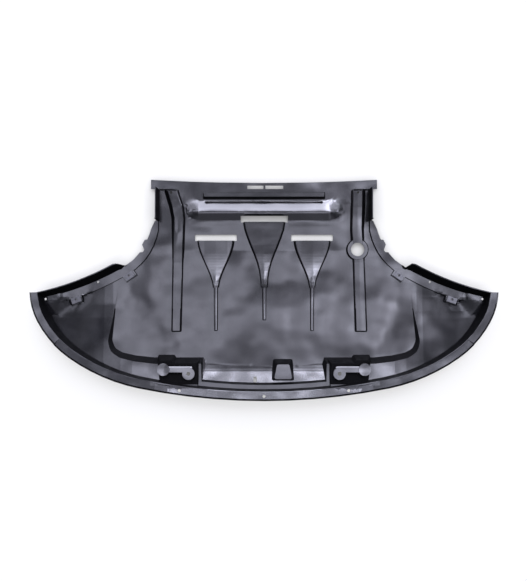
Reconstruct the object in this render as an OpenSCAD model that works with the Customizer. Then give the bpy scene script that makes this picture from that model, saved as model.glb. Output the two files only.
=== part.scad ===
// Engine splash shield: a black plastic undertray for the front of a car.
// One moulded sheet with its engine side up, lying on its flat pan, and four
// spring-steel clip nuts pushed onto the wheel-arch ledges.
// Millimetres. X runs across the car, Y towards its rear, Z up.

/* [Sheet] */
// Thickness of the moulded sheet
sheet = 3; // [2.5:0.1:3.5]
// Small radius that softens the top edges of the raised forms
soft = 2.5; // [1:0.5:3.5]

/* [Front edge] */
// Distance from the middle of the front edge to the line that Y is counted from
front_y = 378; // [360:1:400]
// Radius of the front edge at the middle
front_r1 = 2130; // [2000:10:2300]
// Radius of the front edge outside the middle
front_r2 = 627; // [580:1:680]
// Radius of the front edge at the shoulders
front_r3 = 356; // [320:1:380]
// Radius of the front edge at the tips
front_r4 = 230; // [200:1:250]

/* [Rim] */
// Height of the rim above the pan's underside
rim_h = 65; // [58:1:75]
// Width of the flange at the middle of the front
flange_w = 29; // [26:1:33]
// Width of the flange at the wing tips
flange_tip_w = 24; // [20:1:28]
// Turn of the edge at which the flange steps down towards the tips
joggle_turn = 46; // [42:1:50]
// How far it steps down there
joggle_drop = 3; // [2:0.5:4]
// Width of the rolled edge of the flange
roll_w = 7; // [4:0.5:9]
// How far the rolled edge drops
roll_drop = 5; // [3:0.5:8]
// How far the rim wall leans out over its height
wall_lean = 8; // [4:0.5:12]
// How far the flange's inner edge lies below its outer one
flange_dip = 5; // [2:0.5:7]
// Height of the two level patches above the flange's outer edge
patch_h = 1; // [0.5:0.25:2]
// Width of a patch along the flange
patch_w = 50; // [40:1:60]
// Place of a patch across the car
patch_x = 348; // [335:1:380]

/* [Wings] */
// Length of the wall along the back of a wing
wing_len = 276; // [260:1:290]
// Angle of that wall to the X axis
wing_angle = 20.4; // [18:0.2:22]
// How far that wall bows forward between its ends
wing_bow = 10; // [4:1:14]
// How far that wall leans back over its height
wing_lean = 24; // [18:1:28]
// Width of the shelf along the foot of that wall
shelf_w = 27; // [22:1:32]
// Height of the raised pad at a wing tip
tip_pad_h = 18; // [15:1:24]

/* [Wheel arch ledge] */
// Height of the ledge round the wheel arch
ledge_h = 13; // [10:0.5:16]
// How far the ledge's inner line bows in between its ends
arch_bow = 26; // [20:1:30]
// Where the ledge starts along the side wall
arch_y = 207; // [195:1:215]
// How far the tooth on the ledge's outer edge stands out, and the notch beside it goes in
arch_tooth = 8; // [4:1:10]

/* [Rear] */
// Distance from the centre line to the foot of a side wall
side_x = 368; // [360:1:376]
// Height of the side walls
side_h = 60; // [50:1:65]
// Front end of the side walls
side_y = 244; // [238:1:250]
// Distance from that line to the rear corners
rear_y = 383; // [376:1:392]
// How far the middle of the rear edge bows in
rear_bow = 11; // [4:1:13]
// Depth of the raised band along the rear edge
band_d = 29; // [26:1:31]
// How far the band reaches past the side walls
band_over = 25; // [12:1:30]
// Height of the rear band and of the deck behind the hump
band_h = 14; // [11:0.5:18]
// Front line of the gentle slope that leads up to the deck
deck_front = 95; // [80:5:120]
// Line from which the deck is level
deck_rear = 300; // [290:1:310]

/* [Pan] */
// How much the land rises from the middle to the front edge
land_rise = 28; // [22:1:34]
// Radius of the curve where the land starts to rise
land_r = 1500; // [1000:50:2000]
// Half-width of the pan that is let into the land
pan_x = 549; // [530:1:560]
// Front line of the pan beside the bosses
pan_front = 254; // [246:1:262]
// Half-width of the pan's middle bay
bay_x = 225; // [215:1:235]
// Width of the bright ramp at the front of the bay
bay_ramp = 55; // [40:1:65]
// Height of that ramp
bay_ramp_h = 12; // [8:0.5:14]

/* [Hump and louvre] */
// Height of the hump that runs across the pan
hump_h = 28; // [22:1:34]
// Place of the hump's ridge
hump_y = 272; // [266:1:278]
// Depth of the hump's front flank
hump_front = 46; // [38:1:52]
// Depth of the hump's rear flank
hump_rear = 44; // [36:1:48]
// Half-length of the hump
hump_x = 278; // [268:1:284]
// Half-length of the louvre bar
louvre_x = 208; // [190:1:220]
// Place of the louvre bar
louvre_y = 328; // [326:1:329]
// Depth of the louvre bar's foot
louvre_d = 33; // [31:0.5:34]
// How far its sides lean in
louvre_lean = 9; // [6:0.5:10]
// Height of the louvre bar
louvre_h = 36; // [30:1:42]

/* [Long ribs] */
// Height of the two long ribs above the floor they stand on
rib_h = 11; // [9:0.5:13]
// How far their sides lean in
rib_lean = 6; // [4:0.5:7]
// Width of the left rib
rib_left_w = 45; // [40:1:48]
// Width of the right rib
rib_right_w = 49; // [44:1:52]
// Place of the left rib along most of its length
rib_left_x = -298; // [-304:1:-294]
// Place of the right rib along most of its length
rib_right_x = 325; // [316:1:328]
// Rear end of the long ribs
rib_rear = 349; // [345:1:350]
// Front end of the long ribs
rib_front = -148; // [-155:1:-135]
// How far the left rib steps outwards at its rear end
rib_jog = 20; // [10:1:26]
// Radius of the swelling round the access hole
swell_r = 41; // [37:1:44]
// Radius of the access hole
access_r = 23.5; // [18:0.5:26]
// Place of the access hole along the rib
access_y = 141; // [130:1:155]

/* [Ducts] */
// Half-width of the middle duct at its mouth
duct_w = 72; // [66:1:76]
// Half-width of an outer duct at its mouth
side_duct_w = 63; // [58:1:67]
// Distance of the outer ducts from the centre line
side_duct_x = 168; // [162:1:172]
// Place of the middle duct's lip
duct_y = 239; // [236:1:242]
// Place of the outer ducts' lips
side_duct_y = 175; // [168:1:180]
// Length of the middle duct
duct_len = 230; // [215:5:240]
// Length of an outer duct
side_duct_len = 167; // [155:1:180]
// Height of the middle duct at its mouth
duct_h = 32; // [28:1:38]
// Height of an outer duct at its mouth
side_duct_h = 20; // [17:0.5:24]
// Height of a duct at its narrow end
duct_tail_h = 15; // [13:0.5:17]
// How far a duct's sides lean in
duct_lean = 5; // [3:0.5:6]
// How much higher the middle of a duct's roof is than its edges
duct_crown = 2; // [0.5:0.5:3]
// How far a duct's roof dips behind its narrow end
duct_dip = 2.5; // [1:0.5:3]
// Depth of the opening in front of a duct's mouth
mouth_gap = 18; // [12:1:22]
// How far that opening reaches past the mouth on each side
mouth_over = 10; // [6:1:12]

/* [Thin ribs] */
// Height of the thin ribs ahead of the ducts
fin_h = 10; // [9:0.5:12]
// Width of a thin rib
fin_w = 18; // [17:0.5:21]
// Length of the middle thin rib
fin_len = 132; // [110:1:145]
// Length of an outer thin rib
side_fin_len = 178; // [150:1:190]

/* [Bosses] */
// Height of the two mounting bosses
boss_h = 52; // [46:1:56]
// Height of the body that carries their pads
boss_body_h = 40; // [34:1:44]
// How far the body's sides lean in over its height
boss_lean = 15; // [10:1:18]
// Radius of the round pads
boss_pad_r = 21; // [17:1:23]
// Depth of the bar between the pads
boss_bar_d = 24; // [18:1:28]
// Distance of the round pads from the centre line
boss_pad_x = 344; // [338:1:350]
// Place of the round pads
boss_pad_y = -272; // [-276:1:-268]
// Distance of the screw pads from the centre line
boss_screw_x = 258; // [250:1:266]
// Place of the screw pads
boss_screw_y = -286; // [-290:1:-280]
// Height of the small island beside the centre line
island_h = 40; // [34:1:46]
// Place of the island
island_x = 66; // [60:1:72]

/* [Screw holes] */
// Radius of the screw holes
screw_r = 4; // [3:0.25:5]
// Radius of the fixing holes in the flange
rim_hole_r = 5; // [4:0.25:6]
// Distance of the outer flange holes from the centre line
rim_hole_x = 290; // [280:1:300]
// Radius of the holes in the mounting bosses
boss_hole_r = 6.5; // [5:0.25:8]
// Length of the drain hole
drain_l = 21; // [15:1:26]
// Width of the drain hole
drain_w = 12; // [8:1:14]

/* [Clip nuts] */
// Length of a clip nut along the ledge
clip_l = 34; // [28:1:38]
// Depth of a clip nut
clip_d = 22; // [18:1:24]
// Thickness of the spring steel
clip_t = 1.2; // [0.8:0.1:1.6]
// Clearance between a clip nut's leaves and the sheet
clip_gap = 0.1; // [0.05:0.05:0.3]
// Radius of the threaded hole in a clip nut
clip_hole_r = 2.6; // [2:0.1:3.2]

/* [Hidden] */
$fn = 32;
tip_heading = 88;
headings = [0, 11.5, 35.5, 62, tip_heading];
radii = [front_r1, front_r2, front_r3, front_r4];
arc_step = [2.3, 4, 5.3, 6.5];
// Below every form and above every form, for shapes that must run right through
below = -5;
above = 120;
slope_inset = 0.414 * sheet;
// Middle between the front edge and the rear corners, which becomes the origin
centre_y = (rear_y - front_y) / 2;
// Top of the rim wall, where the flange starts
wall_top = rim_h - flange_dip;
// The edge of a clip nut's tab, inwards from the ledge line, and room for the nut round it
tab_edge = 16;
tab_w = clip_l + 12;
clip_space = clip_t + clip_gap + 2;

// Helpers on points

function unit(v) = v / norm(v);
function left_of(v) = [-v[1], v[0]];
function along(angle) = [cos(angle), sin(angle)];

// Moves every side of a counter-clockwise outline inwards by d
function inset(p, d) =
    let (n = len(p))
    [for (i = [0:n - 1])
        let (u = left_of(unit(p[i] - p[(i + n - 1) % n])),
             v = left_of(unit(p[(i + 1) % n] - p[i])))
        p[i] + (u + v) * d / (1 + u * v)];

// Rounds every corner of an outline with n chords of radius r
function fillet(p, r, n = 3) =
    let (m = len(p))
    [for (i = [0:m - 1])
        let (u = unit(p[i] - p[(i + m - 1) % m]),
             v = unit(p[(i + 1) % m] - p[i]),
             turn = atan2(u[0] * v[1] - u[1] * v[0], u * v),
             side = sign(turn),
             start = p[i] - u * r * tan(abs(turn) / 2),
             centre = start + left_of(u) * r * side,
             heading = atan2(u[1], u[0]))
        for (k = [0:n])
            centre + r * side * [sin(heading + turn * k / n), -cos(heading + turn * k / n)]];

// Points of the arc from a to b that bows to the left of the way by sag
function bow(a, b, sag, n) =
    let (chord = norm(b - a), u = (b - a) / chord, v = left_of(u))
    [for (i = [0:n])
        let (t = i / n)
        a + u * chord * t + v * sag * 4 * t * (1 - t)];

function rectangle(x0, y0, x1, y1) = [[x0, y0], [x1, y0], [x1, y1], [x0, y1]];

// Solid between outlines at rising heights. Every cap is seen whole from its first point
module loft(levels) {
    n = len(levels[0][1]);
    top = len(levels) - 1;
    points = [for (level = levels) for (p = level[1]) [p[0], p[1], level[0]]];
    sides = [for (k = [0:top - 1]) for (i = [0:n - 1])
        let (j = (i + 1) % n, a = k * n, b = (k + 1) * n)
        each [[a + i, b + i, b + j], [a + i, b + j, a + j]]];
    floor_face = [[for (i = [0:n - 1]) i]];
    top_face = [[for (i = [n - 1:-1:0]) top * n + i]];
    polyhedron(points, concat(floor_face, sides, top_face), convexity = 8);
}

// Solid through closed sections that all have the same number of points
module sweep(sections) {
    n = len(sections[0]);
    last = len(sections) - 1;
    points = [for (s = sections) each s];
    sides = [for (k = [0:last - 1]) for (i = [0:n - 1])
        let (j = (i + 1) % n, a = k * n, b = (k + 1) * n)
        each [[a + i, b + i, b + j], [a + i, b + j, a + j]]];
    polyhedron(points, concat([[for (i = [0:n - 1]) i]], sides,
        [[for (i = [n - 1:-1:0]) last * n + i]]), convexity = 8);
}

// Side view in Y and Z, run across the car
module run_across(profile, half_width) {
    translate([-half_width, 0, 0]) rotate([90, 0, 90]) linear_extrude(2 * half_width) polygon(profile);
}

// Raised form on an outline: its skin at s = 0, the hollow under it at s = sheet
module raised(outline, height, s, lean = 2, corner = 6, edge = soft) {
    loft([[below, fillet(inset(outline, s), corner)],
          [height - s - edge, fillet(inset(outline, s + lean), corner)],
          [height - s, fillet(inset(outline, s + lean + edge), corner)]]);
}

// The front edge, a chain of tangent arcs from the middle to the right tip

function edge_at(a, i = 0, from = [0, -front_y]) =
    let (end = min(a, headings[i + 1]),
         to = from + radii[i] * [sin(end) - sin(headings[i]), cos(headings[i]) - cos(end)])
    a <= headings[i + 1] || i == 3 ? to : edge_at(a, i + 1, to);

// Point d inside the outer edge, where the edge has turned by the angle a
function rim_at(a, d) =
    let (p = edge_at(abs(a)) + d * left_of(along(abs(a))))
    [p[0] * (a < 0 ? -1 : 1), p[1]];

function flange_at(a) = flange_w + (flange_tip_w - flange_w) * abs(a) / tip_heading;
// Angle of turn at which the edge has reached x across the car
function turn_at(x) = asin(x / front_r1);

rim_angles = concat([0], [for (i = [0:3])
    let (n = ceil((headings[i + 1] - headings[i]) / arc_step[i]))
    for (k = [1:n]) headings[i] + (headings[i + 1] - headings[i]) * k / n]);

// The wing wall and the arch

wing_tip = rim_at(tip_heading, flange_tip_w);
wing_way = along(180 - wing_angle);
wing_in = left_of(wing_way);
wing_root = wing_tip + wing_len * wing_way;

function wing_line(d) = [for (p = bow(wing_tip, wing_root, wing_bow, 8)) p + d * wing_in];

arch_foot = wing_root + [-35, -6];
arch_head = [side_x + 25, arch_y + 5];
arch_way = unit(arch_head - arch_foot);
arch_out = -left_of(arch_way);
function arch_at(t, d) =
    arch_foot + (arch_head - arch_foot) * t + arch_out * (d - 13 * 4 * t * (1 - t));

// Right half of the tray's outline. f and w are how far the rim wall and the wing
// wall stand inside their top lines, u how far the side wall does
function half_outline(f, w, u) = concat(
    [for (i = [0:len(rim_angles) - 3]) rim_at(rim_angles[i], flange_at(rim_angles[i]) + f)],
    [wing_tip - [f, w * 0.9]],
    [for (i = [1:8]) wing_line(w)[i]],
    [wing_root + [-13, 2] + w * wing_in * 0.9, arch_foot + [2, 2]],
    [for (t = [0.2, 0.36, 0.43]) arch_at(t, 0)],
    [arch_at(0.47, -arch_tooth), arch_at(0.53, -arch_tooth), arch_at(0.6, arch_tooth),
     arch_at(0.72, arch_tooth), arch_at(0.76, 0), arch_at(0.9, 0)],
    [arch_head, [side_x + 12, side_y - 4], [side_x + u, side_y + 2]],
    [[side_x + u, rear_y - band_d], [0, rear_y - band_d]]);

// Whole outline, from the middle of the front round to the right
function outline(f, w, u) =
    let (half = half_outline(f, w, u), n = len(half))
    concat(half, [for (i = [n - 2:-1:1]) [-half[i][0], half[i][1]]]);

// The ledge's inner line on the right, from the side wall down to the tip pad
ledge_line = concat(
    bow([side_x, arch_y], wing_root + (wing_lean + shelf_w) * wing_in, -arch_bow, 8),
    [for (i = [7:-1:3]) wing_line(wing_lean + shelf_w)[i]]);
ledge_end = ledge_line[len(ledge_line) - 1];

// The space inside the tray: its outer skin at s = 0, its inner skin at s = sheet

land_slope = atan(land_rise / 290);
land_start = -50 + land_r * tan(land_slope / 2);
function land_curve(s) = [for (k = [0:6])
    let (a = land_slope * k / 6)
    [land_start - land_r * sin(a), s + land_r * (1 - cos(a))]];

module above_land(s) {
    curve = land_curve(s);
    last = curve[6];
    far = -front_y - 60;
    run_across(concat([[rear_y + 60, s]], curve,
        [[far, last[1] + (last[0] - far) * tan(land_slope)], [far, above], [rear_y + 60, above]]), 900);
}

module walls(s) {
    loft([[0, inset(outline(wall_lean, wing_lean, 0), s)],
          [wall_top, inset(outline(0, 0, 3), s)]]);
}

pan_corners = [[pan_x - 24, 48], [pan_x, -178], [pan_x - 14, -216], [pan_x - 49, -pan_front + 18],
    [pan_x - 100, -pan_front + 7], [bay_x + 160, -pan_front]];
pan_round = fillet(concat([for (p = pan_corners) [-p[0], p[1]]], [for (i = [5:-1:0]) pan_corners[i]]), 40, 2);
// Its rear corners stay sharp
pan_outline = concat([[-pan_corners[0][0], pan_corners[0][1]]],
    [for (i = [3:len(pan_round) - 4]) pan_round[i]], [pan_corners[0]]);

module pan(s) {
    step = 17;
    loft([[s, inset(pan_outline, step + slope_inset)],
          [land_rise + 4 + s, inset(pan_outline, step - land_rise - 4 + slope_inset)]]);
}

// The bay between the bosses, whose floor ramps up to a steep front wall
function bay_outline(front, d) = concat(
    [for (k = [-4:4]) let (a = turn_at(bay_x - d) * k / 4) rim_at(a, flange_w + wall_lean + 8 + front)],
    [[bay_x - d, -pan_front + 30], [-bay_x + d, -pan_front + 30]]);

module bay(s) {
    loft([[s, bay_outline(bay_ramp + 10, 8 + s)],
          [bay_ramp_h + s, bay_outline(8 + s, 4 + s)],
          [land_rise + 3 + s, bay_outline(s, s)]]);
}

module basin(s) {
    intersection() {
        walls(s);
        above_land(s);
    }
    pan(s);
    bay(s);
}

// Forms raised in the sheet: their skin at s = 0, the hollows under them at s = sheet

module both_sides() {
    children();
    mirror([1, 0, 0]) children();
}

module ledge(s) {
    block = concat([[900, side_y + 1], [side_x, side_y + 1]], ledge_line,
        [ledge_end + [60, -16], [900, ledge_end[1] - 30]]);
    loft([[below, inset(block, s)], [ledge_h - s, inset(block, s + 1)]]);
}

module tip_pad(s) {
    base = [[ledge_end[0] + 10, 60], [ledge_end[0] + 10, -46], [ledge_end[0] + 50, -120],
            [900, -150], [900, 60]];
    top = [[ledge_end[0] + 54, 60], [ledge_end[0] + 54, -34], [ledge_end[0] + 74, -44],
           [900, -48], [900, 60]];
    d = slope_inset * s / sheet;
    loft([[-s - 2, inset(base, d - 2)], [tip_pad_h - s, inset(top, d)]]);
}

// Height of the floor between the long ribs at a place along the car
function deck_z(y) = band_h * max(0, min(1, (y - deck_front) / (deck_rear - deck_front)));

// The deck behind the hump, and the gentle slope that leads up to it
module deck(s) {
    ends = [rib_left_x - rib_left_w / 2 + 8 + s, rib_right_x - rib_right_w / 2 + 12 - s];
    translate([ends[0], 0, 0]) rotate([90, 0, 90]) linear_extrude(ends[1] - ends[0])
        polygon([[deck_front, below], [deck_front, -s], [deck_rear, band_h - s], [rear_y + 20, band_h - s],
                 [rear_y + 20, below]]);
}

// The hump's side view is the same along its middle, and it runs out at its two ends
module hump(s) {
    function view(x, k) =
        let (rear = hump_rear * (0.6 + 0.4 * k), front = hump_front * (0.5 + 0.5 * k), h = hump_h * k,
             step = h - band_h)
        [for (p = [[rear, below], [rear, band_h - 2], [rear * 0.7, band_h - 1 + max(0, step) * 0.22],
                   [rear * 0.2, band_h - 1 + max(0, step) * 0.85], [0, max(h, band_h - 1)],
                   [-front * 0.2, h * 0.88], [-front * 0.55, h * 0.45], [-front, 0], [-front, below]])
            [x, hump_y + p[0], p[1] - s]];
    ends = [[0, 0.1], [6, 0.4], [16, 0.66], [30, 0.86], [50, 1]];
    sweep(concat([for (e = ends) view(e[0] - hump_x, e[1])],
                 [for (i = [len(ends) - 1:-1:0]) view(hump_x - ends[i][0], ends[i][1])]));
}

module louvre(s) {
    raised(rectangle(-louvre_x - louvre_lean, louvre_y - louvre_d / 2, louvre_x + louvre_lean,
        louvre_y + louvre_d / 2), louvre_h, s, lean = louvre_lean, corner = 3, edge = 1);
}

// A ridge along the car. Each place gives its X, its Y, the floor under it, its half-width
// at the foot and its height. Its sides run on below the floor, and an open ridge has no
// end wall at its rear
module ridge(places, lean, s, edge = soft, crown = 0.5, open = false) {
    last = len(places) - 1;
    sweep([for (k = [0:last])
        let (p = places[k], w = p[3] - s, foot = p[2] - s, top = foot + p[4], e = min(edge, p[4] * 0.3),
             l = min(lean, w - e - 1) * min(1, p[4] / 5), steepness = min(l / (p[4] - e), 0.75),
             wide = w - l + (top - e - below) * steepness,
             y = p[1] + (k < 2 ? s : k > last - 2 && !open ? -s : 0))
        [for (q = [[-wide, below], [-w + l, top - e], [-w + l + e, top], [0, top + crown],
                   [w - l - e, top], [w - l, top - e], [wide, below]])
            [p[0] + q[0], y, q[1]]]]);
}

// The same with a short slope at its front end, and one at its rear end
module closed_ridge(places, lean, s, edge = soft) {
    last = len(places) - 1;
    function low(p, way) = [p[0], p[1] + way * lean, p[2], p[3] - 2, 1];
    ridge(concat([low(places[0], -1)], places, [low(places[last], 1)]), lean, s, edge);
}

module long_ribs(s) {
    a = rib_left_w / 2;
    closed_ridge([for (p = [[-8, rib_front + rib_lean, -2], [-3, deck_front, -1], [2, 250, 0], [-3, 288, 1],
                            [-rib_jog, rib_rear - rib_lean, 0]])
        [rib_left_x + p[0], p[1], deck_z(p[1]), a + p[2], rib_h]], rib_lean, s);
    b = rib_right_w / 2;
    closed_ridge([for (p = [[14, rib_front + rib_lean, 0], [6, deck_front, -1], [-2, 212, -1], [-1, 288, -1],
                            [0, rib_rear - rib_lean, -2]])
        [rib_right_x + p[0], p[1], deck_z(p[1]), b + p[2], rib_h]], rib_lean, s);
    translate([rib_right_x + 1, access_y, below])
        cylinder(r1 = swell_r + 2 - s, r2 = swell_r - rib_lean - s, h = rib_h + deck_z(access_y) - s - below);
}

// A duct flares from its tail to its mouth. Its roof dips a little and then rises
module duct(x, mouth_w, tail_w, flare, mouth_y, length, mouth_h, s) {
    function widen(t) = let (u = pow(t, flare)) 0.2 * u + 0.8 * u * u * (3 - 2 * u);
    ridge([for (k = [0:8])
        let (t = k / 8, y = mouth_y - length * (1 - t), floor_z = deck_z(y),
             roof = duct_tail_h + (mouth_h - duct_tail_h) * t * t - duct_dip * sin(180 * pow(t, 0.7)))
        [x, y, floor_z, tail_w + (mouth_w - tail_w) * widen(t) + 3, roof - floor_z]],
        duct_lean, s, crown = duct_crown, open = true);
}

module fin(x, rear, length, s) {
    closed_ridge([[x, rear - length, 0, fin_w / 2 - 1, fin_h], [x, rear, 0, fin_w / 2, fin_h]], 4, s, 0.8);
}

module ducts(s) {
    duct(1, duct_w, 11, 1.25, duct_y, duct_len, duct_h, s);
    fin(1, duct_y - duct_len + 20, fin_len, s);
    for (x = [-side_duct_x, side_duct_x]) {
        duct(x, side_duct_w, 9, 0.95, side_duct_y, side_duct_len, side_duct_h, s);
        fin(x, side_duct_y - side_duct_len + 30, side_fin_len, s);
    }
}

// A mounting boss: a leaning body against the rim wall, with two pads and a bar on it.
// Its front stops inside the rim wall
function against_rim(x) = rim_at(turn_at(x), flange_w + 4);

module boss(s) {
    inner = bay_x - 8;
    outer = boss_pad_x + 34;
    body = concat([for (x = [inner + 6, 260, 300, 340, outer]) against_rim(x)],
        [[outer, boss_pad_y + 30], [outer - 8, boss_pad_y + 49], [boss_pad_x - 32, boss_pad_y + 49],
         [boss_pad_x - 42, boss_pad_y + 36], [inner, boss_pad_y + 34]]);
    top = concat([for (x = [inner + boss_lean, 262, 300, 336, outer - boss_lean]) against_rim(x)],
        [[outer - boss_lean, boss_pad_y + 20], [outer - boss_lean - 5, boss_pad_y + 30],
         [boss_pad_x - 26, boss_pad_y + 30], [boss_pad_x - 34, boss_pad_y + 20],
         [inner + boss_lean, boss_pad_y + 20]]);
    loft([[below, inset(body, s)], [boss_body_h - s, inset(top, s)]]);
    for (p = [[boss_pad_x, boss_pad_y, 2], [boss_screw_x, boss_screw_y, 0]])
        translate([p[0], p[1], below])
            cylinder(r1 = boss_pad_r + 2 - s, r2 = boss_pad_r - s, h = boss_h + p[2] - s - below);
    bar_y = (boss_pad_y + boss_screw_y) / 2 + 6;
    raised(rectangle(boss_screw_x - 14, bar_y - boss_bar_d / 2, boss_pad_x, bar_y + boss_bar_d / 2),
        boss_h - 2, s, lean = 1, corner = 5);
}

module island(s) {
    base = [[island_x - 46, -322], [island_x + 46, -322], [island_x + 36, -238], [island_x - 36, -238]];
    top = [[island_x - 31, -306], [island_x + 31, -306], [island_x + 21, -256], [island_x - 21, -256]];
    loft([[below, fillet(inset(base, s), 6)], [island_h - s, fillet(inset(top, s), 6)]]);
}

// A clip nut's place is a point of the ledge line, with its X along the line
// and its Y pointing inwards
inner_clip = 7;
outer_clip = len(ledge_line) - 1;

module at_clip(i) {
    way = ledge_line[i] - ledge_line[i - 1];
    translate([ledge_line[i][0], ledge_line[i][1], 0]) rotate([0, 0, atan2(way[1], way[0]) + 180])
        children();
}

// The small tab that carries a clip nut, with a window where the nut's bend passes
module clip_tab(s) {
    raised(rectangle(-tab_w / 2, -8, tab_w / 2, tab_edge + 5), ledge_h, s, lean = 1, corner = 3, edge = 1);
}

module clip_window() {
    translate([-clip_l / 2 - 2, tab_edge, ledge_h - sheet - clip_space])
        cube([clip_l + 4, 12, sheet + 2 * clip_space]);
    translate([0, tab_edge - clip_d / 2, below]) cylinder(r = screw_r, h = above - below);
}

module forms(s) {
    both_sides() {
        ledge(s);
        tip_pad(s);
        boss(s);
        for (i = [inner_clip, outer_clip])
            at_clip(i) clip_tab(s);
    }
    deck(s);
    hump(s);
    louvre(s);
    long_ribs(s);
    ducts(s);
    island(s);
}

// The flange round the front, with its rolled edge

module flange() {
    function section(a) =
        let (w = flange_at(a) + sheet / 2, edge_z = rim_h - (abs(a) > joggle_turn ? joggle_drop : 0))
        [for (p = [[w, wall_top], [roll_w, edge_z], [0, edge_z - roll_drop],
                   [0.6, edge_z - roll_drop - sheet], [roll_w + 1, edge_z - sheet],
                   [w, wall_top - sheet]])
            let (q = rim_at(a, p[0])) [q[0], q[1], p[1]]];
    turns = concat([for (a = rim_angles) if (a > 0 && a < joggle_turn - 1) a], [joggle_turn, joggle_turn + 0.8],
        [for (a = rim_angles) if (a > joggle_turn + 2) a]);
    sweep([for (a = concat([for (i = [len(turns) - 1:-1:0]) -turns[i]], [0], turns)) section(a)]);
}

// The band along the rear edge, which reaches past the side walls
module rear_band() {
    x = side_x + band_over;
    translate([0, 0, band_h - sheet]) linear_extrude(sheet)
        polygon(concat([[-x, rear_y - band_d - sheet], [x, rear_y - band_d - sheet]],
            bow([x, rear_y], [-x, rear_y], rear_bow, 10)));
}

module flange_patches() {
    for (side = [-1, 1]) {
        a = turn_at(patch_x - patch_w / 2);
        b = turn_at(patch_x + patch_w / 2);
        sweep([for (t = [-0.5, 0, 0.5])
            let (k = (a + b) / 2 + side * (b - a) * t)
            [for (p = [[flange_at(k) - 1, wall_top - 1], [flange_at(k) - 2, rim_h + patch_h],
                       [roll_w + 1, rim_h + patch_h], [roll_w, rim_h - 1]])
                let (q = rim_at(side * k, p[0])) [q[0], q[1], p[1]]]]);
    }
}

// Everything that is cut through the finished sheet

module trims() {
    // Rear edge and arch edges carry no wall
    translate([-side_x - 40, rear_y - band_d - 3, band_h])
        cube([2 * side_x + 80, band_d + 40, above]);
    both_sides() {
        translate([0, side_y, 0]) rotate([90, 0, 0]) linear_extrude(side_y - 40)
            polygon([[side_x + 4, ledge_h], [wing_root[0] - 37, ledge_h], [wing_root[0] - 8, rim_h + 1],
                     [wing_root[0] - 8, above], [side_x + 4, above]]);
        translate([side_x - 20, side_y - 2, side_h]) cube([60, rear_y - side_y, above]);
    }
}

module duct_mouths() {
    for (d = [[1, duct_w, duct_y], [-side_duct_x, side_duct_w, side_duct_y],
              [side_duct_x, side_duct_w, side_duct_y]])
        translate([d[0] - d[1] - mouth_over, d[2] - sheet - 1, below])
            cube([2 * (d[1] + mouth_over), mouth_gap + sheet + 1, duct_h + duct_crown - below + 1]);
}

module clip_windows() {
    both_sides()
        for (i = [inner_clip, outer_clip])
            at_clip(i) clip_window();
}

module hole(x, y, r) {
    translate([x, y, below]) cylinder(r = r, h = above - below);
}

module slot(x, y, length, width) {
    for (end = [-1, 1])
        hole(x, y + end * (length - width) / 2, width / 2);
    translate([x - width / 2, y - (length - width) / 2, below])
        cube([width, length - width, above - below]);
}

module holes() {
    hole(rib_right_x + 1, access_y, access_r);
    hole(rib_left_x - rib_jog - 3, rib_rear - 12, screw_r);
    hole(rib_right_x, rib_rear - 12, screw_r);
    hole(3, duct_y - duct_len + 8, screw_r - 1);
    hole(0, rim_at(0, flange_w / 2 + 2)[1], rim_hole_r);
    for (side = [-1, 1]) {
        q = rim_at(turn_at(rim_hole_x), flange_w / 2 + 2);
        hole(side * q[0], q[1], rim_hole_r);
        hole(side * boss_screw_x, boss_screw_y, boss_hole_r);
        hole(side * (wing_tip[0] - 16), wing_tip[1] - 24, screw_r);
        hole(side * (wing_root[0] + 62), wing_root[1] - 61, screw_r);
    }
    slot(-31, -312, drain_l, drain_w);
    for (x = [[-58, 56], [5, 62]])
        translate([x[0], rear_y - band_d - 3, below]) cube([x[1], 12, above]);
}

// The moulded sheet lies between its underside and its engine side
module moulded_sheet() {
    difference() {
        basin(0);
        forms(sheet);
        difference() {
            basin(sheet);
            forms(0);
        }
        trims();
    }
    flange();
    flange_patches();
    rear_band();
}

// The sheet is brought to its overall height as one smooth shell, and then drilled
module splash_shield() {
    color([0.09, 0.09, 0.1])
        translate([0, -centre_y, 0]) difference() {
            resize([0, 0, rim_h + patch_h]) difference() {
                moulded_sheet();
                duct_mouths();
                clip_windows();
            }
            holes();
        }
}

// A spring-steel clip nut: two leaves and a bend round the tab's edge, with a
// threaded barrel under the lower leaf

module clip_nut() {
    inner = sheet / 2 + clip_gap;
    outer = inner + clip_t;
    middle = ledge_h - sheet / 2;
    leaf = clip_d - outer;
    color([0.62, 0.63, 0.65])
        difference() {
            union() {
                translate([-clip_l / 2, tab_edge - leaf, middle + inner]) cube([clip_l, leaf, clip_t]);
                translate([-clip_l / 2, tab_edge - leaf, middle - outer]) cube([clip_l, leaf, clip_t]);
                translate([-clip_l / 2, tab_edge, middle]) rotate([90, 0, 90]) intersection() {
                    difference() {
                        cylinder(r = outer, h = clip_l);
                        translate([0, 0, -1]) cylinder(r = inner, h = clip_l + 2);
                    }
                    translate([0, -outer - 1, -1]) cube([outer + 1, 2 * outer + 2, clip_l + 2]);
                }
                translate([0, tab_edge - clip_d / 2, middle - outer - clip_t * 2])
                    cylinder(r = clip_hole_r + clip_t, h = clip_t * 2.5);
            }
            translate([0, tab_edge - clip_d / 2, below]) cylinder(r = clip_hole_r, h = middle - below);
            translate([0, tab_edge - clip_d / 2, middle]) cylinder(r = screw_r, h = above);
        }
}

// A nut in its place on the right, or mirrored to the left
module placed_nut(i, side) {
    translate([0, -centre_y, 0]) mirror([side < 0 ? 1 : 0, 0, 0]) at_clip(i) clip_nut();
}

module clip_nut_left_outer() {
    placed_nut(outer_clip, -1);
}
module clip_nut_left_inner() {
    placed_nut(inner_clip, -1);
}
module clip_nut_right_inner() {
    placed_nut(inner_clip, 1);
}
module clip_nut_right_outer() {
    placed_nut(outer_clip, 1);
}

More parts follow.
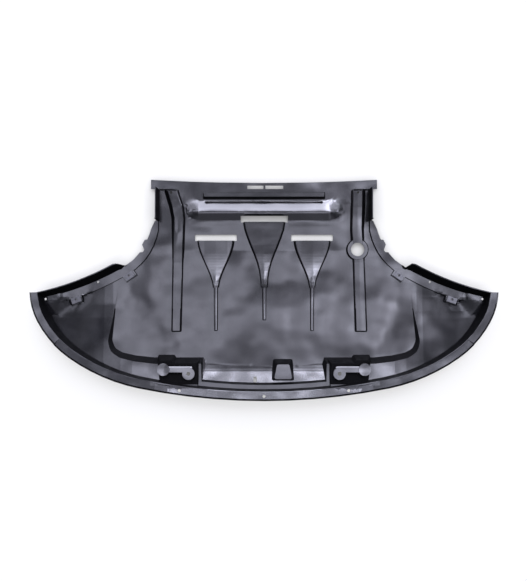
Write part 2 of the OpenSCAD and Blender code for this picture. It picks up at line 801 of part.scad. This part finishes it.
splash_shield();
clip_nut_left_outer();
clip_nut_left_inner();
clip_nut_right_inner();
clip_nut_right_outer();
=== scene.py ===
import math

import bmesh
import bpy
from mathutils.bvhtree import BVHTree
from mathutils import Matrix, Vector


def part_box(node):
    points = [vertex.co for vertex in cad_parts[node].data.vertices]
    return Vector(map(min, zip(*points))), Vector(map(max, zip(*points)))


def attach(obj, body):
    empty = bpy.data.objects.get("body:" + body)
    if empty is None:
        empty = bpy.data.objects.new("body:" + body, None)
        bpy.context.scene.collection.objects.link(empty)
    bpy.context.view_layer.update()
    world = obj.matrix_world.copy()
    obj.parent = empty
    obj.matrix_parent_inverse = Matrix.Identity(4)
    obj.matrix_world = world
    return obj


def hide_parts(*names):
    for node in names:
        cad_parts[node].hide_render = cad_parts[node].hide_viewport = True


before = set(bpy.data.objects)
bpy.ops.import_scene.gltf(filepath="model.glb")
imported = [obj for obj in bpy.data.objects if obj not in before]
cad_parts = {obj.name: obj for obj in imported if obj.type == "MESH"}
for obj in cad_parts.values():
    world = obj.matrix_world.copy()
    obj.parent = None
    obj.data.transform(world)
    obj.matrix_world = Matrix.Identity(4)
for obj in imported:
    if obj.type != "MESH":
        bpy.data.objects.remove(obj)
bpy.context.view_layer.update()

# Camera. The photo was taken from straight above the middle of the shield, from about
# two metres away, with the front edge towards the bottom of the picture. Sizes are in
# metres where no other unit is named.
camera_height = 2.0
camera_y = -0.0045
millimetres_a_pixel = 3.502
picture_height = 581
shift_in_pixels = -0.5
sensor_height = 36
view_depth = 30
camera_data = bpy.data.cameras.new("overhead_camera")
camera_data.sensor_fit = "VERTICAL"
camera_data.sensor_height = sensor_height
camera_data.lens = sensor_height * camera_height * 1000 / (picture_height * millimetres_a_pixel)
camera_data.shift_x = shift_in_pixels / picture_height
camera_data.clip_end = view_depth
camera = bpy.data.objects.new("overhead_camera", camera_data)
camera.location = (0, camera_y, camera_height)
bpy.context.collection.objects.link(camera)
bpy.context.scene.camera = camera
bpy.context.scene.view_settings.view_transform = "Standard"

# Light. A soft studio sky: a weak panel straight above, a bright softbox behind the
# shield's rear edge, and little from the front. It is brightest over the middle, with a
# stronger strip a little to the right. The camera itself sees plain white.
sky_strength = 6.4
sky_tint = (0.905, 0.91, 1.0)
front_to_rear = (
    (-1.0, 0.05), (-0.5, 0.06), (-0.3, 0.08), (-0.17, 0.13), (-0.08, 0.29), (0.0, 0.33),
    (0.05, 0.27), (0.09, 0.12), (0.13, 0.09), (0.2, 0.06), (0.3, 0.09), (0.37, 0.4),
    (0.45, 0.95), (0.6, 1.0), (0.75, 0.85), (1.0, 0.5),
)
left_to_right = (
    (-1.0, 0.9), (-0.75, 0.7), (-0.5, 0.25), (-0.38, 0.3), (-0.29, 0.35), (-0.24, 1.3),
    (-0.19, 1.1), (0.0, 0.95), (0.12, 1.05), (0.18, 1.6), (0.255, 2.6), (0.31, 0.9),
    (0.38, 0.6), (0.5, 0.35), (0.75, 0.7), (1.0, 0.9),
)
sky = bpy.data.worlds.new("studio_sky")
bpy.context.scene.world = sky
sky.use_nodes = True
tree = sky.node_tree
tree.nodes.clear()
place = tree.nodes.new("ShaderNodeTexCoord")
apart = tree.nodes.new("ShaderNodeSeparateXYZ")
tree.links.new(place.outputs["Generated"], apart.inputs[0])


# The sky's brightness along one axis, from pairs of a place on it, between -1 and 1, and
# a level.
def sky_band(tree, axis, levels):
    span = tree.nodes.new("ShaderNodeMapRange")
    span.inputs["From Min"].default_value = -1
    tree.links.new(axis, span.inputs["Value"])
    ramp = tree.nodes.new("ShaderNodeValToRGB")
    stops = ramp.color_ramp.elements
    stops[0].position = levels[0][0] / 2 + 0.5
    stops[1].position = levels[-1][0] / 2 + 0.5
    for at, level in levels[1:-1]:
        stops.new(at / 2 + 0.5)
    for stop, (at, level) in zip(stops, levels):
        stop.color = (*(level * part for part in sky_tint), 1)
    tree.links.new(span.outputs["Result"], ramp.inputs[0])
    return ramp.outputs[0]


product = tree.nodes.new("ShaderNodeVectorMath")
product.operation = "MULTIPLY"
tree.links.new(sky_band(tree, apart.outputs["Y"], front_to_rear), product.inputs[0])
tree.links.new(sky_band(tree, apart.outputs["X"], left_to_right), product.inputs[1])
soft = tree.nodes.new("ShaderNodeBackground")
soft.inputs["Strength"].default_value = sky_strength
tree.links.new(product.outputs[0], soft.inputs["Color"])
white = tree.nodes.new("ShaderNodeBackground")
white.inputs["Color"].default_value = (1, 1, 1, 1)


# Shows one shader to the camera, and lights the object with another.
def swap_for_camera(tree, lighting, seen, out):
    rays = tree.nodes.new("ShaderNodeLightPath")
    swap = tree.nodes.new("ShaderNodeMixShader")
    tree.links.new(rays.outputs["Is Camera Ray"], swap.inputs[0])
    tree.links.new(lighting.outputs[0], swap.inputs[1])
    tree.links.new(seen.outputs[0], swap.inputs[2])
    tree.links.new(swap.outputs[0], out.inputs["Surface"])


swap_for_camera(tree, soft, white, tree.nodes.new("ShaderNodeOutputWorld"))

# Floor. A plain sheet of white paper that keeps the shield's soft shadow. To the camera it
# also glows, and the glow fades close to the shield and in its holes: a painted shadow.
floor_reach = 6
floor_height = -0.0006
paper_colour = (0.295, 0.293, 0.265, 1)
paper_glow = 0.65
shadow_reach = 0.06
shadow_samples = 12
floor_mesh = bmesh.new()
bmesh.ops.create_grid(floor_mesh, x_segments=1, y_segments=1, size=floor_reach)
bmesh.ops.translate(floor_mesh, vec=(0, 0, floor_height), verts=floor_mesh.verts)
floor_data = bpy.data.meshes.new("studio_floor")
floor_mesh.to_mesh(floor_data)
floor_mesh.free()
floor = bpy.data.objects.new("studio_floor", floor_data)
bpy.context.collection.objects.link(floor)
paper = bpy.data.materials.new("white_paper")
paper.use_nodes = True
tree = paper.node_tree
tree.nodes.clear()
matt = tree.nodes.new("ShaderNodeBsdfDiffuse")
matt.inputs["Color"].default_value = paper_colour
# The glow fades where the shield is near: a painted shadow.
painted_shadow = tree.nodes.new("ShaderNodeAmbientOcclusion")
painted_shadow.samples = shadow_samples
painted_shadow.inputs["Distance"].default_value = shadow_reach
glow = tree.nodes.new("ShaderNodeEmission")
glow.inputs["Strength"].default_value = paper_glow
tree.links.new(painted_shadow.outputs["AO"], glow.inputs["Color"])
both = tree.nodes.new("ShaderNodeAddShader")
tree.links.new(matt.outputs[0], both.inputs[0])
tree.links.new(glow.outputs[0], both.inputs[1])
swap_for_camera(tree, matt, both, tree.nodes.new("ShaderNodeOutputMaterial"))
floor.data.materials.append(paper)

# Splash shield. One thin sheet of black polypropylene, moulded with its rim, ribs, ducts
# and bosses in it, and bolted up under the engine through the holes in them. Its satin
# skin is slightly wavy, as large mouldings are.
low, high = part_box("splash_shield")
plastic = bpy.data.materials.new("black_moulded_plastic")
plastic.use_nodes = True
painted_shade_plastic = bpy.data.materials.new("black_painted_shade_plastic")
painted_shade_plastic.use_nodes = True
cloud_low = 0.35
cloud_high = 0.65


# A cloudy pattern fixed to the piece, with blotches of about the given size. Most of its
# values lie between the two above.
def clouds(tree, size, detail, roughness):
    place = tree.nodes.new("ShaderNodeTexCoord")
    noise = tree.nodes.new("ShaderNodeTexNoise")
    noise.inputs["Scale"].default_value = 1 / size
    noise.inputs["Detail"].default_value = detail
    noise.inputs["Roughness"].default_value = roughness
    tree.links.new(place.outputs["Object"], noise.inputs["Vector"])
    return noise.outputs["Fac"]


# Colours between a dark and a light one, as the pattern goes from its start to its end.
def tones(tree, pattern, dark, light, start=0.0, end=1.0):
    tone = tree.nodes.new("ShaderNodeValToRGB")
    first, last = tone.color_ramp.elements
    first.position = start
    first.color = (*dark, 1)
    last.position = end
    last.color = (*light, 1)
    tree.links.new(pattern, tone.inputs[0])
    return tone.outputs[0]


# Numbers between a least and a most, as the clouds go from thin to thick.
def spread(tree, pattern, least, most):
    span = tree.nodes.new("ShaderNodeMapRange")
    span.inputs["From Min"].default_value = cloud_low
    span.inputs["From Max"].default_value = cloud_high
    span.inputs["To Min"].default_value = least
    span.inputs["To Max"].default_value = most
    tree.links.new(pattern, span.inputs["Value"])
    return span.outputs["Result"]


# Relief from a pattern, on top of the relief under it.
def bump(tree, pattern, depth, strength, under=None):
    relief = tree.nodes.new("ShaderNodeBump")
    relief.inputs["Distance"].default_value = depth
    relief.inputs["Strength"].default_value = strength
    tree.links.new(pattern, relief.inputs["Height"])
    if under is not None:
        tree.links.new(under, relief.inputs["Normal"])
    return relief.outputs[0]


tree = plastic.node_tree
skin = tree.nodes["Principled BSDF"]
skin.inputs["IOR"].default_value = 1.6
skin.inputs["Specular IOR Level"].default_value = 1.0
stains = clouds(tree, size=0.12, detail=5, roughness=0.6)
blacks = tones(tree, stains, (0.005, 0.005, 0.0055), (0.009, 0.009, 0.0105), cloud_low, cloud_high)
tree.links.new(blacks, skin.inputs["Base Color"])
smears = clouds(tree, size=0.09, detail=4, roughness=0.6)
tree.links.new(spread(tree, smears, least=0.12, most=0.22), skin.inputs["Roughness"])
waves = bump(tree, clouds(tree, size=0.3, detail=1, roughness=0.4), depth=0.024, strength=1.0)
swells = clouds(tree, size=0.11, detail=1, roughness=0.4)
ripples = bump(tree, swells, depth=0.006, strength=1.0, under=waves)
specks = clouds(tree, size=0.003, detail=3, roughness=0.6)
grain = bump(tree, specks, depth=0.0002, strength=0.35, under=ripples)
tree.links.new(grain, skin.inputs["Normal"])

# The steep draft faces, and the bodies of the bosses, are near black and dull with a coarse grain: painted
# shade.
tree = painted_shade_plastic.node_tree
skin = tree.nodes["Principled BSDF"]
skin.inputs["Specular IOR Level"].default_value = 0.05
stains = clouds(tree, size=0.03, detail=4, roughness=0.6)
tree.links.new(tones(tree, stains, (0.002, 0.002, 0.0022), (0.005, 0.005, 0.0055)), skin.inputs["Base Color"])
smears = clouds(tree, size=0.02, detail=3, roughness=0.5)
tree.links.new(spread(tree, smears, least=0.5, most=0.65), skin.inputs["Roughness"])
specks = clouds(tree, size=0.002, detail=3, roughness=0.6)
tree.links.new(bump(tree, specks, depth=0.0003, strength=0.5), skin.inputs["Normal"])

# Finishes go by their number in this list.
finishes = [plastic, painted_shade_plastic]
plain = 0
painted_shade = 1


# Adds a copy of the plastic that reflects more or less, for painted light and shade, and gives its number.
def painted_light_copy(name, index, level=1.0):
    finish = plastic.copy()
    finish.name = "black_" + name + "_plastic"
    skin = finish.node_tree.nodes["Principled BSDF"]
    skin.inputs["IOR"].default_value = index
    skin.inputs["Specular IOR Level"].default_value = level
    finishes.append(finish)
    return len(finishes) - 1


# Lit and shaded copies of the plastic: the first four reflect more and look lighter, a painted highlight; the
# last two reflect less and look darker, painted shade.
lit_a_little = painted_light_copy("lit_a_little", 1.75)
smooth = painted_light_copy("smooth", 1.95)
lit_much = painted_light_copy("lit_much", 2.5)
bright = painted_light_copy("bright", 3.2)
shaded_a_little = painted_light_copy("shaded_a_little", 1.6, 0.7)
shaded_more = painted_light_copy("shaded_more", 1.6, 0.45)

# The ducts reflect more in small steps, from their mouths to their thin fins: a painted highlight.
duct_steps = 12
duct_index = 1.5
duct_index_step = 0.08
duct_light = [painted_light_copy("duct_%d" % (step + 1), duct_index + duct_index_step * step)
              for step in range(duct_steps)]

# The moulding is copied and its flat faces are made whole.
weld = 2e-5
flat_angle = math.radians(1.0)
moulding = bmesh.new()
moulding.from_mesh(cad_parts["splash_shield"].data)
bmesh.ops.remove_doubles(moulding, verts=moulding.verts, dist=weld)
bmesh.ops.dissolve_limit(moulding, angle_limit=flat_angle, verts=moulding.verts, edges=moulding.edges)

# The engine side is cut into squares of a centimetre, but for a strip at the rear edge.
# The squares lie a little off the middle line, so that no cut runs along an edge of the
# moulding. What a cut meets is kept in order, so that every run gives the same mesh.
upward = 0.6
square = 0.01
off_middle = 0.003
snap = 0.0002
columns = range(math.floor(low.x / square), math.ceil(high.x / square))
rows = range(math.floor(low.y / square), math.floor(high.y / square) - 1)
for cuts, across in ((columns, (1, 0, 0)), (rows, (0, 1, 0))):
    for cut in cuts:
        at = cut * square + off_middle
        near = {}
        for face in moulding.faces:
            if face.normal.z > upward:
                near.update(dict.fromkeys((face, *face.edges, *face.verts)))
        bmesh.ops.bisect_plane(moulding, geom=list(near), dist=snap, plane_co=(at, at, at), plane_no=across)
bmesh.ops.triangulate(moulding, faces=moulding.faces)
moulding.normal_update()
surface = BVHTree.FromBMesh(moulding)

# The bends of the hump and of the pads at the tips are rounded: each corner moves towards
# the mean height around it. A corner near a drop stays, so that edges keep crisp.
directions = 16
near_reach = 0.009
far_reach = 0.017
over_the_part = 0.2
sharp_drop = 0.0105
fade = 0.003


def rounded(corner, past_the_edge):
    x, y, z = corner
    heights = [z]
    for turn in range(directions):
        angle = 2 * math.pi * turn / directions
        reach = far_reach if turn % 2 else near_reach
        start = (x + reach * math.cos(angle), y + reach * math.sin(angle), over_the_part)
        point = surface.ray_cast(start, (0, 0, -1))[0]
        heights.append(point.z if point else past_the_edge)
    drop = max(abs(height - z) for height in heights)
    share = max(0, min(1, (sharp_drop - drop) / fade))
    return z + share * (sum(heights) / len(heights) - z)


# A region seen from above lies between two distances from the middle line, on both sides
# of it, and two places along the shield.
def within(region, side, y):
    inner, outer, from_y, to_y = region
    return inner <= side < outer and from_y < y < to_y


# The pads of the bosses are dished as well.
tip = high.x
hump = (0, 0.32, 0.2, 0.306)
tip_pads = (0.6, tip, -0.1, 0)
tip_pad_height = 0.0185
pad_x = 0.344
pad_y = -0.2745
pad_foot = 0.05
dish_radius = 0.018
dish_depth = 0.0016
moved = []
for corner in moulding.verts:
    if min(face.normal.z for face in corner.link_faces) < upward:
        continue
    x, y, z = corner.co
    side = abs(x)
    from_pad = math.hypot(side - pad_x, y - pad_y)
    if from_pad < dish_radius and z > pad_foot:
        moved.append((corner, z - dish_depth * (1 - (from_pad / dish_radius) ** 2)))
    elif within(hump, side, y):
        moved.append((corner, rounded(corner.co, z)))
    elif within(tip_pads, side, y) and z < tip_pad_height:
        moved.append((corner, rounded(corner.co, 1)))
for corner, height in moved:
    corner.co.z = height
moulding.normal_update()

# Where the finishes lie. First the steep faces, which are a little less steep on the pan's
# step and the rim, and the bodies of the bosses: these get the painted shade. The places
# after them get painted light or painted shade.
front = low.y
rim = (0, tip, front, -0.05)
rim_foot = 0.055
pan_step = (0.2, tip, front, -0.07)
pan_step_top = 0.03
steep = 0.6
steep_at_edges = 0.85
bosses = (0.22, 0.39, -0.325, -0.215)
boss_body = (0.036, 0.0415)
boss_pad_foot = 0.048

# The ducts stand up from a deck that rises towards the rear.
deck_front = 0.0925
deck_length = 0.205
deck_rise = 0.014
duct_foot = 0.006
middle_duct = (0, 0.04, -0.16, 0.153)
outer_ducts = (0.128, 0.208, -0.16, 0.18)
duct_light_from = 0.133
duct_light_to = duct_light_from - duct_steps * square

# In the front bay the ramp curves with the rim, and the island stands right of the middle.
bay_ramp = (0, 0.215, -0.325, -0.277)
bay_ramp_curve = 0.25
bay_ramp_top = 0.03
bay_ramp_bright = -0.287
flange = (0, 0.33, front, -0.34)
flange_foot = 0.05
island_x = 0.066
island_half = 0.04
island = (-0.315, -0.25)
island_foot = 0.038

# The wings are painted lighter near their roots and darker towards their tips: painted light and shade.
wing_land = (0.36, tip, front, -0.04)
wing_floor = (0.53, tip, front, 0.03)
wing_tip = (0.6, tip, front, -0.03)
land_foot = 0.0075
tip_land_foot = 0.0172
lit_inside = 0.455
shaded_from = 0.495
more_shaded_from = 0.555


def finish_at(x, y, z, level):
    side = abs(x)
    on_step = within(pan_step, side, y) and z < pan_step_top
    on_rim = within(rim, side, y) and z > rim_foot
    # Steep faces and the bodies of the bosses get the painted shade.
    if level < (steep_at_edges if on_step or on_rim else steep):
        return painted_shade
    if within(bosses, side, y) and boss_body[0] < z < boss_body[1]:
        return painted_shade
    deck = deck_rise * max(0, min(1, (y - deck_front) / deck_length))
    # The duct roofs and fins get the painted highlight, in steps.
    if z > deck + duct_foot and (within(middle_duct, side, y) or within(outer_ducts, side, y)):
        step = max(0, min(duct_steps - 1, int((duct_light_from - y) / square)))
        return duct_light[step] if y > duct_light_to else lit_a_little
    # The bay ramp, the flange, the boss pads and the island are given painted highlights.
    if within(bay_ramp, side, y) and y > bay_ramp[2] + bay_ramp_curve * side ** 2 and z < bay_ramp_top:
        return bright if y < bay_ramp_bright else smooth
    if within(flange, side, y) and z > flange_foot:
        return lit_much
    if within(bosses, side, y) and z > boss_pad_foot:
        return smooth
    if abs(x - island_x) < island_half and island[0] < y < island[1] and z > island_foot:
        return smooth
    # The wing land gets painted light near its root and painted shade towards its tip.
    on_land = within(wing_land, side, y) and land_foot < z < rim_foot
    floor_top = tip_land_foot if within(wing_tip, side, y) else land_foot
    if on_land or within(wing_floor, side, y) and z < floor_top:
        if side > shaded_from:
            return shaded_a_little if side < more_shaded_from else shaded_more
        if side < lit_inside:
            return lit_a_little
    return plain


# Sharp edges stay sharp, and each finish goes on its faces.
crisp_edge = math.radians(26)
for face in moulding.faces:
    face.smooth = True
    face.material_index = finish_at(*face.calc_center_median(), abs(face.normal.z))
for edge in moulding.edges:
    if edge.is_manifold:
        edge.smooth = edge.calc_face_angle(0) < crisp_edge
data = bpy.data.meshes.new("shield_sheet")
moulding.to_mesh(data)
moulding.free()
shield = bpy.data.objects.new("shield_sheet", data)
bpy.context.collection.objects.link(shield)
for finish in finishes:
    shield.data.materials.append(finish)
even = shield.modifiers.new("even_shading", "WEIGHTED_NORMAL")
even.keep_sharp = True
even.weight = 80
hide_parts("splash_shield")
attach(shield, "root")

# Clip nuts. Four U-nuts folded from spring steel with a thin zinc coat, pushed over the
# edges of the tabs on the ledges of the wings and the wheel arches.
steel = bpy.data.materials.new("zinc_spring_steel")
steel.use_nodes = True
tree = steel.node_tree
coat = tree.nodes["Principled BSDF"]
coat.inputs["Metallic"].default_value = 1.0
spangle = clouds(tree, size=0.006, detail=4, roughness=0.6)
tree.links.new(tones(tree, spangle, (0.12, 0.12, 0.125), (0.26, 0.26, 0.27)), coat.inputs["Base Color"])
smears = clouds(tree, size=0.01, detail=3, roughness=0.5)
tree.links.new(spread(tree, smears, least=0.3, most=0.5), coat.inputs["Roughness"])
for name in ("left_outer", "left_inner", "right_inner", "right_outer"):
    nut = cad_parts["clip_nut_" + name]
    nut.data.materials.clear()
    nut.data.materials.append(steel)
